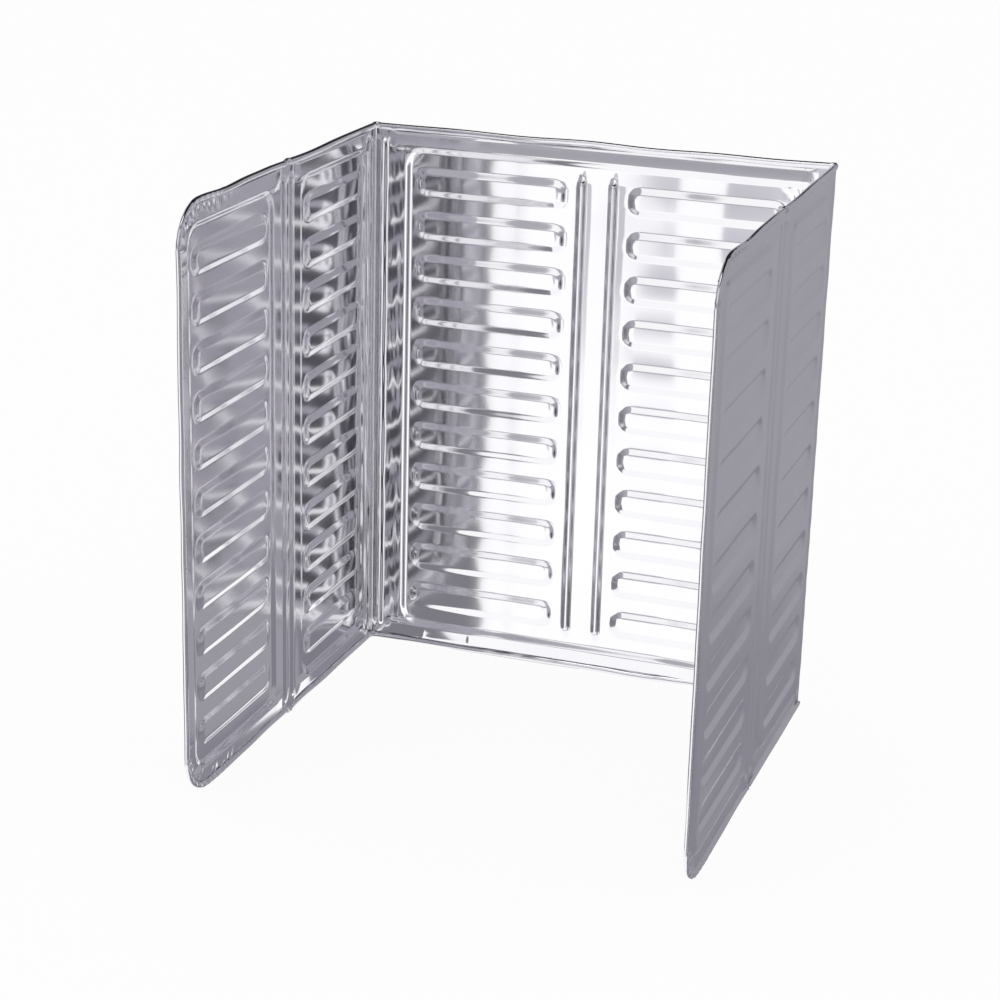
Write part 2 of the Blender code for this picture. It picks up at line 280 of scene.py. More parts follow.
# %% [markdown]
# ## Drawn in by the press
#
# Pressing draws foil in, so the flat parts don't stay quite flat. The back bows beside
# each corner, and the border bands lean from the hem to the frame. Both are under a
# millimetre high, yet the bow decides where the back's grey part ends, and the lean
# turns the upper band away from the white paper. At the creases the foil stays calm,
# because leaves and crease strips have to meet there.

# %% Bow and lean
BOW_RISE = 0.0008
BOW_START = 0.0100
BOW_TOP = 0.0570
BOW_END = 0.0900
CROWN_START = 0.0034
CROWN_RISE = 0.0008
CROWN_POWER = 1.6
SEAM_CALM = 0.006


def edge_distance(along, up):
    """Distance to the outline of the whole blank, with its round outer corners."""
    return box_distance(along, up, 0.0, BLANK_LENGTH, 0.0, HEIGHT, CORNER_RADIUS)


def away_from_creases(along):
    """0 at every crease and 1 a little past its ridges, so that the seams stay calm."""
    nearest = np.min([np.abs(along - crease) for crease in CREASES], axis=0)
    return pressed(-(nearest - SEAM_EDGE), SEAM_CALM)


def bow(along):
    """The back is drawn in beside each corner and runs out flat towards its middle."""
    aside = np.minimum(along - LEFT_CORNER, RIGHT_CORNER - along)
    rise = pressed_straight(BOW_START - aside, BOW_TOP - BOW_START)
    fall = pressed_straight(BOW_TOP - aside, BOW_END - BOW_TOP)
    return BOW_RISE * (rise - fall)


def crown(along, up):
    """The border bands lean: they rise from the hem to the frame, above and below."""
    inside = np.minimum(up, HEIGHT - up)
    share = np.clip((inside - CROWN_START) / (FRAME_BAND - CROWN_START), 0.0, 1.0)
    fade = pressed(inside - FRAME_BAND - FRAME_WALL, FRAME_WALL)
    return CROWN_RISE * share**CROWN_POWER * fade * away_from_creases(along)


bow_slope = BOW_RISE / (BOW_TOP - BOW_START) / (1.0 - WALL_ROUNDING)
print("the bow turns a reflection by", round(2 * math.degrees(bow_slope), 1), "degrees")

# %% [markdown]
# ## Dents, wrinkles and nicks
#
# Foil never stays flat. Handling leaves shallow dents some centimetres wide, bending a
# corner by hand leaves upright wrinkles beside it, and the lower band of the back has
# small nicks. Sums of waves with seeded directions give the dents and the wrinkles, and
# they are smooth, so the mirror stays clean. A wave of an eighth of a millimetre that is
# 50 mm long already turns a reflection by nearly two degrees either way.

# %% Waves and dents
DENT_SEED = 5
DENT_DEPTH = 0.00013
DENT_LENGTHS = (0.045, 0.130)
DENT_WAVES = 14
DENT_STRETCH = 2.2
CALM_SHARE = 0.75
CALM_WIDTH = 0.150


def wave_field(along, up, seed, lengths, waves, upright=1.0):
    """A smooth random surface of about unit height, made of waves in many directions."""
    dice = np.random.default_rng(seed)
    field = np.zeros_like(along)
    for _ in range(waves):
        length = dice.uniform(*lengths)
        direction = dice.uniform(0.0, math.pi)
        phase = dice.uniform(0.0, 2.0 * math.pi)
        turn = along * math.cos(direction) + up * math.sin(direction) * upright
        field += np.sin(2.0 * math.pi * turn / length + phase)
    return field / math.sqrt(waves)


def dents(along, up):
    """Shallow dents everywhere, calmer about the left corner, as in the photograph."""
    field = wave_field(along, up, DENT_SEED, DENT_LENGTHS, DENT_WAVES, DENT_STRETCH)
    calm = 1.0 - CALM_SHARE * np.exp(-(((along - LEFT_CORNER) / CALM_WIDTH) ** 2))
    return DENT_DEPTH * field * calm * away_from_creases(along)


line = np.linspace(0.0, BLANK_LENGTH, 800)
deepest = np.abs(dents(line, np.full_like(line, HEIGHT / 2))).max()
print("deepest dent at half height in mm", round(float(deepest) * 1000, 2))

# %% Upright wrinkles and nicks
STREAK_SEED = 17
STREAK_START = 0.0095
STREAK_END = 0.0200
STREAK_FADE = 0.0030
STREAK_LENGTHS = (0.004, 0.010)
STREAK_WAVES = 16
STREAK_STRETCH = 0.12
STREAK_DEPTH = 0.00009
HEM_EDGE = 0.0038
NICK_PLACES = (0.034, 0.066, 0.121, 0.142, 0.166, 0.171)
NICK_SLANTS = (0.2, 0.0, -0.15, 0.1, 0.0, 0.25)
NICK_WIDTH = 0.0011
NICK_DEPTH = 0.00045
NICK_TOP_FADE = 0.004
NICK_FOOT_FADE = 0.002


def streaks(along, up):
    """Upright wrinkles beside the corner creases, where the foil was bent by hand."""
    aside = np.min([np.abs(along - crease) for crease in CREASES[1:3]], axis=0)
    start = pressed(STREAK_START - aside, STREAK_FADE)
    end = pressed(aside - STREAK_END, STREAK_FADE)
    field = wave_field(along, up, STREAK_SEED, STREAK_LENGTHS, STREAK_WAVES, STREAK_STRETCH)
    return STREAK_DEPTH * field * start * end


def nicks(along, up):
    """Small upright nicks in the lower band of the back, from handling."""
    inside = np.minimum(up, HEIGHT - up)
    shade = pressed(inside - FRAME_BAND, NICK_TOP_FADE) * pressed(HEM_EDGE - inside, NICK_FOOT_FADE)
    height = np.zeros_like(along)
    for place, slant in zip(NICK_PLACES, NICK_SLANTS):
        middle = LEFT_CORNER + place + slant * up
        height += np.exp(-(((along - middle) / NICK_WIDTH) ** 2))
    return NICK_DEPTH * height * shade * (up < HEIGHT / 2)


print(len(NICK_PLACES), "nicks in the lower band of the back")

# %% [markdown]
# ## The gathered edge
#
# A hem that turns round a corner has too much foil on its inner side. The border band
# beside it gathers into short wrinkles that stand square to the edge, each one steep on
# one side and easy on the other. A shallow groove runs along the hem's lip, where the
# folded edge presses on the sheet.

# %% Wrinkles of the gathered edge
GATHER_SEED = 40
GATHER_WAVES = 6
GATHER_UNEVEN = 0.25
GATHER_FADE = 1.7
GATHER_REACH = 0.0098
GATHER_PITCH = 0.0068
GATHER_DEPTH = 0.00095
GATHER_STEEP = 0.25
GATHER_SPREAD = 0.050
GATHER_SPREAD_UPRIGHT = 0.016
GATHER_WANDER = (0.009, 0.030)
GROOVE_START = 0.0030
GROOVE_FALL = 0.0008
GROOVE_CLIMB = 0.0010
GROOVE_DEPTH = 0.0007


def corner_places():
    """The centres of the blank's four round corners."""
    reach = (CORNER_RADIUS, BLANK_LENGTH - CORNER_RADIUS)
    return [(along, up) for along in reach for up in (CORNER_RADIUS, HEIGHT - CORNER_RADIUS)]


def gathers(along, up):
    """Short wrinkles square to the edge, over the border band near the outer corners."""
    inside = -edge_distance(along, up)
    height = np.zeros_like(along)
    for number, (place, level) in enumerate(corner_places()):
        aside = (along - place) * np.sign(place - BLANK_LENGTH / 2)
        above = (up - level) * np.sign(level - HEIGHT / 2)
        angle = np.arctan2(np.maximum(above, 0.0), np.maximum(aside, 0.0) + 1e-9)
        run = angle * CORNER_RADIUS - np.minimum(aside, 0.0) + np.minimum(above, 0.0)
        past = np.maximum(-aside, -above)
        spread = np.where(above > 0.0, GATHER_SPREAD, GATHER_SPREAD_UPRIGHT)
        near = 1.0 - np.clip(past / spread, 0.0, 1.0)
        reached = np.where((aside > 0.0) | (above > 0.0), near, 0.0)
        seed = GATHER_SEED + number
        uneven = wave_field(run, np.zeros_like(run), seed, GATHER_WANDER, GATHER_WAVES)
        phase = (run / GATHER_PITCH + GATHER_UNEVEN * uneven) % 1.0
        ridge = np.minimum(phase / GATHER_STEEP, (1.0 - phase) / (1.0 - GATHER_STEEP))
        ripple = ridge * ridge * (3.0 - 2.0 * ridge) - 0.5
        run_out = inside / (GATHER_REACH * (1.0 + GATHER_UNEVEN * uneven))
        fade = np.clip(GATHER_FADE - GATHER_FADE * run_out, 0.0, 1.0)
        height += GATHER_DEPTH * ripple * fade * reached
    return height


def hem_groove(along, up):
    """The folded edge presses the sheet back a little, in a groove along its lip."""
    inside = -edge_distance(along, up)
    fall = pressed(GROOVE_START - inside, GROOVE_FALL)
    climb = pressed(GROOVE_START + GROOVE_FALL - inside, GROOVE_CLIMB)
    return -GROOVE_DEPTH * (fall - climb) * away_from_creases(along)


def relief(along, up):
    """The whole height of the foil over its border band."""
    shapes = press_relief(along, up) + crown(along, up) + bow(along)
    edges = gathers(along, up) + hem_groove(along, up) + nicks(along, up)
    return shapes + edges + dents(along, up) + streaks(along, up)


print("wrinkles", round(GATHER_PITCH * 1000, 1), "mm apart at", len(corner_places()), "corners")

# %% [markdown]
# ## From a grid to a sheet of foil
#
# A sheet starts as Blender's grid. Its lines are then moved: close together where a
# pressed wall runs, wide apart on flat foil, so the mirror is smooth where it turns and
# the mesh stays small. The relief lifts the points, the wall's matrix stands the sheet
# up, and a Solidify modifier gives the foil its thickness, with the satin side outside.

# %% Grid lines and finished objects
FOIL_THICKNESS = 0.0002
FINE_STEP = 0.0005
END_STEP = 0.0009
FLAT_STEP = 0.0046
SAME_LINE = 0.000001


def grid_lines(low, high, zones, coarse):
    """Places of the grid lines from low to high; a zone is (start, end, step)."""
    marks = [low]
    for mark in sorted(mark for zone in zones for mark in zone[:2]):
        if marks[-1] + SAME_LINE < mark < high - SAME_LINE:
            marks.append(mark)
    marks.append(high)
    lines = [low]
    for left, right in zip(marks, marks[1:]):
        middle = (left + right) / 2
        steps = [step for start, end, step in zones if start < middle < end]
        count = max(1, math.ceil((right - left) / min(steps + [coarse]) - 1e-6))
        lines.extend(left + (right - left) * (k + 1) / count for k in range(count))
    return np.array(lines)


def lined_grid(columns, rows):
    """A bmesh grid whose lines stand at the given columns and rows."""
    sheet = bmesh.new()
    across, upward = len(columns) - 1, len(rows) - 1
    bmesh.ops.create_grid(sheet, x_segments=across, y_segments=upward, size=0.5)
    for vert in sheet.verts:
        column = round((vert.co.x + 0.5) * across)
        row = round((vert.co.y + 0.5) * upward)
        vert.co = Vector((columns[column], rows[row], 0.0))
    return sheet


def finished(name, sheet, shape, materials):
    """Turn a flat bmesh into a foil object; shape gives the places of its points."""
    for edge in sheet.edges:
        edge.smooth = not edge.is_boundary
    for face in sheet.faces:
        face.smooth = True
    mesh = bpy.data.meshes.new(name)
    sheet.to_mesh(mesh)
    sheet.free()
    flat = np.empty(len(mesh.vertices) * 3)
    mesh.vertices.foreach_get("co", flat)
    flat = flat.reshape(-1, 3)
    mesh.vertices.foreach_set("co", shape(flat[:, 0], flat[:, 1]).ravel())
    mesh.update()
    for material in materials:
        mesh.materials.append(material)
    item = bpy.data.objects.new(name, mesh)
    bpy.context.scene.collection.objects.link(item)
    shell = item.modifiers.new("foil_thickness", "SOLIDIFY")
    shell.thickness = FOIL_THICKNESS
    shell.offset = -1.0
    shell.use_even_offset = False
    shell.material_offset = 1
    shell.material_offset_rim = 1
    print(name, len(mesh.vertices), "points")
    return item


def stand_up(matrix, along, up, inward):
    """Points of the flat blank carried to one of the three walls."""
    flat = np.stack([along, up, inward + FOIL_THICKNESS / 2, np.ones_like(along)])
    return (np.array(matrix) @ flat)[:3].T


print("grid lines", FINE_STEP * 1000, "mm apart at bends and", FLAT_STEP * 1000, "mm on flat foil")

# %% [markdown]
# ## Finishes
#
# The foil is rolled aluminium. The rolls leave fine lines along the blank, so it mirrors
# sharply to the side and smears upwards: an anisotropic metal with an upright tangent.
# Two foils are rolled together in the last pass. The side that runs against the steel
# roll comes out bright, and the side that runs against the other foil comes out satin.
# The tone drifts a little in clouds, as rolling oil and handling leave it.

# %% Colours and the node helper
def linear(text):
    """An sRGB hex colour as linear numbers for a shader."""
    parts = [int(text[place : place + 2], 16) / 255.0 for place in (1, 3, 5)]
    return [part / 12.92 if part <= 0.04045 else ((part + 0.055) / 1.055) ** 2.4 for part in parts]


def add_node(tree, kind, settings, links=()):
    """A node with its settings; links pairs an input's name with a socket to join to it."""
    node = tree.nodes.new(kind)
    for name, value in settings.items():
        if name in node.inputs:
            node.inputs[name].default_value = value
        else:
            setattr(node, name, value)
    for place, source in links:
        tree.links.new(source, node.inputs[place])
    return node


def empty_material(name):
    material = bpy.data.materials.new(name)
    material.use_nodes = True
    material.node_tree.nodes.clear()
    return material, material.node_tree


# %% Rolled foil
ROLL_LINE_PITCH = 0.0016
ROLL_LINE_LENGTH = 0.030
ROLL_LINE_DETAIL = {"Scale": 1.0, "Detail": 3.0, "Roughness": 0.6}
ROLL_LINE_DEPTH = 0.00006
CLOUDS_PER_METRE = 18.0
MIX_COLOUR_A, MIX_COLOUR_B = 6, 7


def rolled_foil(name, dark, light, roughness, stretch, line_strength):
    """Aluminium foil as it leaves the rolls, with lines that run along the blank."""
    material, tree = empty_material(name)
    place = add_node(tree, "ShaderNodeTexCoord", {})
    line_scale = (1 / ROLL_LINE_LENGTH, 1 / ROLL_LINE_LENGTH, 1 / ROLL_LINE_PITCH)
    lined = add_node(
        tree, "ShaderNodeMapping", {"Scale": line_scale}, [("Vector", place.outputs["Object"])]
    )
    lines = add_node(
        tree, "ShaderNodeTexNoise", ROLL_LINE_DETAIL, [("Vector", lined.outputs["Vector"])]
    )
    clouds = {"Scale": CLOUDS_PER_METRE, "Detail": 2.0}
    cloud = add_node(
        tree, "ShaderNodeTexNoise", clouds, [("Vector", place.outputs["Object"])]
    )
    tone = add_node(tree, "ShaderNodeMix", {"data_type": "RGBA"}, [("Factor", cloud.outputs["Fac"])])
    tone.inputs[MIX_COLOUR_A].default_value = (*linear(dark), 1.0)
    tone.inputs[MIX_COLOUR_B].default_value = (*linear(light), 1.0)
    bump = add_node(
        tree,
        "ShaderNodeBump",
        {"Strength": line_strength, "Distance": ROLL_LINE_DEPTH},
        [("Height", lines.outputs["Fac"])],
    )
    upright = add_node(tree, "ShaderNodeCombineXYZ", {"Z": 1.0})
    shader = add_node(
        tree,
        "ShaderNodeBsdfPrincipled",
        {"Metallic": 1.0, "Roughness": roughness, "Anisotropic": stretch},
        [
            ("Base Color", tone.outputs[2]),
            ("Normal", bump.outputs["Normal"]),
            ("Tangent", upright.outputs["Vector"]),
        ],
    )
    add_node(tree, "ShaderNodeOutputMaterial", {}, [("Surface", shader.outputs["BSDF"])])
    return material


# The eye gets crisp white and grey bars from the inside of the guard.
BRIGHT_FOIL = rolled_foil("bright_side_of_rolled_foil", "#E9E8EC", "#F2F1F4", 0.10, 0.8, 0.01)
# The outside gives one even lilac grey, in which the pads show only as soft edges.
SATIN_FOIL = rolled_foil("satin_side_of_rolled_foil", "#E6E5E9", "#EFEEF1", 0.30, 0.6, 0.05)
# The hem glints in short broken lines along the rim.
HEMMED_FOIL = rolled_foil("foil_turned_over_in_the_hem", "#E2E0E6", "#F2F1F4", 0.14, 0.3, 0.1)
print("foils", [material.name for material in (BRIGHT_FOIL, SATIN_FOIL, HEMMED_FOIL)])

# %% [markdown]
# ## The five embossed leaves
#
# Each leaf is one sheet. It reaches from the seam beside one crease to the seam beside
# the next, or into the hem of the front edge. The outer leaves have round corners, which
# are cut off with short straight cuts that stay hidden in the hem. Lines of the grid
# stand close only where the foil bends, which keeps every leaf under 200,000 triangles.

# %% Grid zones from the shapes
HEM_TUCK = 0.0012
GROOVE_STEP = 0.0004
GATHER_STEP = 0.0006
GATHER_OUTER_STEP = 0.0010
GATHER_ROW_STEP = 0.0008
EDGE_STEP = 0.0018
WALL_STEP = 0.0014
RIB_STEP = 0.0005
STREAK_STEP = 0.0011
NICK_STEP = 0.0008
ZONE_MARGIN = 0.0002


def wall_zones(start, width, rounding):
    """Close lines over a pressed wall: closest where it starts and ends."""
    bend = rounding * width
    return [
        (start - ZONE_MARGIN, start + bend, FINE_STEP),
        (start + bend, start + width - bend, WALL_STEP),
        (start + width - bend, start + width + ZONE_MARGIN, FINE_STEP),
    ]


def column_zones():
    """Stretches along the blank that need close lines."""
    lip = (GROOVE_START, GROOVE_START + GROOVE_FALL + GROOVE_CLIMB)
    near, far = CORNER_RADIUS + GATHER_SPREAD / 3, CORNER_RADIUS + GATHER_SPREAD
    zones = [(*lip, GROOVE_STEP), (0.0, near, GATHER_STEP), (near, far, GATHER_OUTER_STEP)]
    zones += [(BLANK_LENGTH - end, BLANK_LENGTH - start, step) for start, end, step in zones]
    for left, right in FRAMES:
        zones += wall_zones(left, FRAME_WALL, 0.5) + wall_zones(right - FRAME_WALL, FRAME_WALL, 0.5)
    for left, right in COLUMNS:
        zones += [(left - ZONE_MARGIN, left + PAD_RADIUS, END_STEP)]
        zones += [(right - PAD_RADIUS, right + ZONE_MARGIN, END_STEP)]
    half = RIB_WIDTH / 2 + ZONE_MARGIN
    zones += [(middle - half, middle + half, RIB_STEP) for middle in RIBS]
    for crease in CREASES[1:3]:
        zones += [(crease - STREAK_END, crease + STREAK_END, STREAK_STEP)]
    for place, slant in zip(NICK_PLACES, NICK_SLANTS):
        middle = LEFT_CORNER + place + slant * FRAME_BAND / 2
        zones += [(middle - 2 * NICK_WIDTH, middle + 2 * NICK_WIDTH, NICK_STEP)]
    return zones


def row_zones(gathered):
    """Stretches up the blank that need close lines."""
    lip = (GROOVE_START, GROOVE_START + GROOVE_FALL + GROOVE_CLIMB)
    zones = [(0.0, FRAME_BAND, EDGE_STEP), (HEIGHT - FRAME_BAND, HEIGHT, EDGE_STEP)]
    zones += [(*lip, GROOVE_STEP), (HEIGHT - lip[1], HEIGHT - lip[0], GROOVE_STEP)]
    if gathered:
        reach = CORNER_RADIUS + GATHER_SPREAD_UPRIGHT
        zones += [(0.0, reach, GATHER_ROW_STEP), (HEIGHT - reach, HEIGHT, GATHER_ROW_STEP)]
    for start in (FRAME_BAND, HEIGHT - FRAME_BAND - FRAME_WALL):
        zones += wall_zones(start, FRAME_WALL, 0.5)
    for middle in PAD_MIDDLES:
        for start in (middle - PAD_HEIGHT / 2, middle + PAD_HEIGHT / 2 - PAD_WALL):
            zones += wall_zones(start, PAD_WALL, WALL_ROUNDING)
    return zones


print(len(column_zones()), "zones of close lines along the blank,", len(row_zones(True)), "up it")

# %% Leaves
CORNER_CUTS = 8


def cut_corner(sheet, place, level, radius):
    """Cut a corner of the flat sheet round, with planes that touch the arc."""
    side = math.copysign(1.0, place - BLANK_LENGTH / 2)
    rise = math.copysign(1.0, level - HEIGHT / 2)
    for cut in range(CORNER_CUTS):
        angle = math.pi / 2 * (cut + 0.5) / CORNER_CUTS
        outward = Vector((side * math.cos(angle), rise * math.sin(angle), 0.0))
        bmesh.ops.bisect_plane(
            sheet,
            geom=sheet.verts[:] + sheet.edges[:] + sheet.faces[:],
            dist=1e-6,
            plane_co=Vector((place, level, 0.0)) + outward * radius,
            plane_no=outward,
            clear_outer=True,
        )


def make_leaf(name, left, right, matrix):
    """One embossed leaf between two places on the blank."""
    columns = grid_lines(left, right, column_zones(), FLAT_STEP)
    gathered = any(left < place < right for place, _ in corner_places())
    rows = grid_lines(HEM_TUCK, HEIGHT - HEM_TUCK, row_zones(gathered), FLAT_STEP)
    sheet = lined_grid(columns, rows)
    for place, level in corner_places():
        if left < place < right:
            cut_corner(sheet, place, level, CORNER_RADIUS - HEM_TUCK)

    def shape(along, up):
        return stand_up(matrix, along, up, relief(along, up))

    return finished(name, sheet, shape, [BRIGHT_FOIL, SATIN_FOIL])


LEAVES = [
    ("left_outer", HEM_TUCK, LEFT_MIDDLE - SEAM_EDGE, LEFT_WALL),
    ("left_inner", LEFT_MIDDLE + SEAM_EDGE, LEFT_CORNER - SEAM_EDGE, LEFT_WALL),
    ("back", LEFT_CORNER + SEAM_EDGE, RIGHT_CORNER - SEAM_EDGE, BACK_WALL),
    ("right_inner", RIGHT_CORNER + SEAM_EDGE, RIGHT_MIDDLE - SEAM_EDGE, RIGHT_WALL),
    ("right_outer", RIGHT_MIDDLE + SEAM_EDGE, BLANK_LENGTH - HEM_TUCK, RIGHT_WALL),
]
for leaf, left, right, matrix in LEAVES:
    item = make_leaf(f"{leaf}_sheet", left, right, matrix)
    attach(item, f"{leaf}_leaf")
    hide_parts(f"{leaf}_panel")

# %% [markdown]
# ## The four creases
#
# At a crease the foil runs on between two ridges and turns round a tight bend. One strip
# per crease spans both ridges, so the foil isn't cut there.

# %% Crease strips
BEND_RADIUS = 0.0009
STRIP_STEP = 0.0004
STRIP_ROW_STEP = 0.0026
STRIP_END = 0.018
STRIP_END_STEP = 0.0009
CRUMPLE_DEPTH = 0.00012
CRUMPLE_LENGTHS = (0.007, 0.030)
CRUMPLE_WAVES = 12
CRUMPLE_STRETCH = 0.5
CRUMPLE_CALM = 0.003


def round_the_bend(crease, first, second, along, up, inward):
    """Carry a strip round the bend from the first wall to the second."""
    if first == second:
        return stand_up(first, along, up, inward)
    share = np.clip((along - crease) / BEND_RADIUS * 0.5 + 0.5, 0.0, 1.0)
    before = stand_up(first, np.minimum(along, crease - BEND_RADIUS), up, inward)
    after = stand_up(second, np.maximum(along, crease + BEND_RADIUS), up, inward)
    turn = (share * math.pi / 2)[:, None]
    hub = np.array(first @ Vector((crease - BEND_RADIUS, 0.0, BEND_RADIUS)))[:2]
    inside = BEND_RADIUS - inward - FOIL_THICKNESS / 2
    forward = np.array(first.col[0][:2])
    outward = -np.array(first.col[2][:2])
    arc = before.copy()
    arc[:, :2] = hub + inside[:, None] * (outward * np.cos(turn) + forward * np.sin(turn))
    result = np.where((share <= 0.0)[:, None], before, arc)
    return np.where((share >= 1.0)[:, None], after, result)


def make_crease(name, crease, first, second):
    """The strip with both ridges of a crease; its place in mm seeds the crumples."""
    columns = grid_lines(crease - SEAM_EDGE, crease + SEAM_EDGE, [], STRIP_STEP)
    ends = [(0.0, STRIP_END, STRIP_END_STEP), (HEIGHT - STRIP_END, HEIGHT, STRIP_END_STEP)]
    rows = grid_lines(HEM_TUCK, HEIGHT - HEM_TUCK, ends, STRIP_ROW_STEP)
    sheet = lined_grid(columns, rows)
    seed = round(crease * 1000)

    def shape(along, up):
        calm = pressed(np.abs(along - crease) - SEAM_EDGE, CRUMPLE_CALM)
        crumple = wave_field(along, up, seed, CRUMPLE_LENGTHS, CRUMPLE_WAVES, CRUMPLE_STRETCH)
        lift = press_relief(along, up) + CRUMPLE_DEPTH * crumple * calm
        return round_the_bend(crease, first, second, along, up, lift)

    return finished(name, sheet, shape, [BRIGHT_FOIL, SATIN_FOIL])


CREASE_STRIPS = [
    ("left_middle", LEFT_MIDDLE, LEFT_WALL, LEFT_WALL, "left_outer_leaf", "left_inner_leaf"),
    ("left_corner", LEFT_CORNER, LEFT_WALL, BACK_WALL, "left_inner_leaf", "back_leaf"),
    ("right_corner", RIGHT_CORNER, BACK_WALL, RIGHT_WALL, "back_leaf", "right_inner_leaf"),
    ("right_middle", RIGHT_MIDDLE, RIGHT_WALL, RIGHT_WALL, "right_inner_leaf", "right_outer_leaf"),
]
BEADS = {
    "left_middle": ("left_middle_bead_outer", "left_middle_bead_inner"),
    "left_corner": ("left_corner_bead_wing", "left_corner_bead_back"),
    "right_corner": ("right_corner_bead_back", "right_corner_bead_wing"),
    "right_middle": ("right_middle_bead_inner", "right_middle_bead_outer"),
}


def blend_over(item):
    """Bake the piece's place into its mesh, so that it stays where it was built."""
    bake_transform(item)


for name, crease, first, second, before, after in CREASE_STRIPS:
    item = make_crease(f"{name}_crease", crease, first, second)
    blend_over(item)
    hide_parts(*BEADS[name])

# %% [markdown]
# ## The hem
#
# The edge of the foil is turned over into a flat roll, which makes it safe and stiff. Its
# section is an open loop with drooping lips. The section is carried along the edge, and
# the roll is uneven: it waves a little on straight edges, and towards the outer corners,
# where the inner side of the loop has too much foil, it folds into short pleats. At a
# crease the roll is pinched flat and crumpled, and a short piece is carried round the bend.

# %% Section of the hem
HEM_REACH = 0.0034
HEM_HALF = 0.0013
HEM_BEND = 0.0014
HEM_LOWERED = 0.0007
HEM_WAVE = 0.00035
HEM_STEP = 0.0008
HEM_CREASE_GAP = 0.0036
SECTION_POINTS = 19
LIP_SHARE = 0.5
LIP_DROOP = 0.35
LIP_TUCK = 0.5
LIP_TUCK_POWER = 6
HEM_SEED = 31
OUTER_HEM_SEED = 77
RIPPLE_LENGTHS = (0.014, 0.060)
RIPPLE_WAVES = 10
RIPPLE_SPREAD = 0.003
RIPPLE_IN_REACH = 0.04
RIPPLE_IN_LEVEL = 0.02
SWAY_LENGTHS = (0.025, 0.090)
SWAY_WAVES = 6
SWAY_LIMIT = 1.6
PINCH_LENGTHS = (0.0014, 0.0035)
PINCH_WAVES = 8
PINCH_DEPTH = 0.0006
PINCH_FLATTENING = 0.5
PLEAT_STEP = 0.0005
PLEAT_PITCH = 0.0062
PLEAT_WANDER = 0.0009
PLEAT_DEPTH = 0.00070
PLEATS_ALONG = 0.030
PLEATS_DOWN = 0.006
PLEATS_FADE = 0.008


def hem_section(share):
    """Reach inwards from the edge and level over the sheet, for a share of the section."""
    side = np.abs(2.0 * share - 1.0)
    angle = np.clip(side / (1.0 - LIP_SHARE), 0.0, 1.0) * math.pi / 2
    straight = np.clip((side - 1.0 + LIP_SHARE) / LIP_SHARE, 0.0, 1.0)
    reach = HEM_BEND * (1.0 - np.cos(angle)) + (HEM_REACH - HEM_BEND) * straight
    droop = 1.0 - LIP_DROOP * straight - LIP_TUCK * straight**LIP_TUCK_POWER
    level = HEM_HALF * np.sin(angle) * droop
    return reach, level * np.sign(0.5 - share)


def uneven_hem(run, share, seed, pleated):
    """The section of a hem that waves, with pleats where pleated is more than 0."""
    reach, level = hem_section(share)
    ripple = wave_field(run, share * RIPPLE_SPREAD, seed, RIPPLE_LENGTHS, RIPPLE_WAVES)
    sway = wave_field(run, np.zeros_like(run), seed + 1, SWAY_LENGTHS, SWAY_WAVES)
    place = (run + PLEAT_WANDER * ripple) / PLEAT_PITCH
    fold = 1.0 - np.abs(place % 1.0 - 0.5) * 2.0
    pleat = PLEAT_DEPTH * fold**2 * pleated * (reach / HEM_REACH)
    edge = HEM_LOWERED + HEM_WAVE * np.clip(sway, -SWAY_LIMIT, SWAY_LIMIT)
    reach = edge + reach * (1.0 + RIPPLE_IN_REACH * ripple)
    level = level * (1.0 + RIPPLE_IN_LEVEL * ripple) - np.sign(level) * pleat
    return np.maximum(reach, 0.0), level


def hem_run(name, low, high, top, first, second=None, crease=None):
    """A hem along the top or the bottom edge, from low to high on the blank."""
    sheet = lined_grid(grid_lines(low, high, [], HEM_STEP), np.linspace(0.0, 1.0, SECTION_POINTS))

    def shape(along, share):
        unpleated = np.zeros_like(along)
        reach, level = uneven_hem(along, share, HEM_SEED + int(top), unpleated)
        up = HEIGHT - reach if top else reach
        if second is None:
            return stand_up(first, along, up, level - FOIL_THICKNESS / 2)
        pinch = np.clip(1.0 - np.abs(along - crease) / HEM_CREASE_GAP, 0.0, 1.0)
        up = up + (HEM_LOWERED if top else -HEM_LOWERED) * pinch
        crumple = wave_field(along, up, round(crease * 1000), PINCH_LENGTHS, PINCH_WAVES)
        level = level * (1.0 - PINCH_FLATTENING * pinch) + PINCH_DEPTH * crumple * pinch
        up = np.clip(up, FOIL_THICKNESS, HEIGHT - FOIL_THICKNESS)
        return round_the_bend(crease, first, second, along, up, level)

    if top:
        bmesh.ops.reverse_faces(sheet, faces=sheet.faces[:])
    return finished(name, sheet, shape, [HEMMED_FOIL, HEMMED_FOIL])


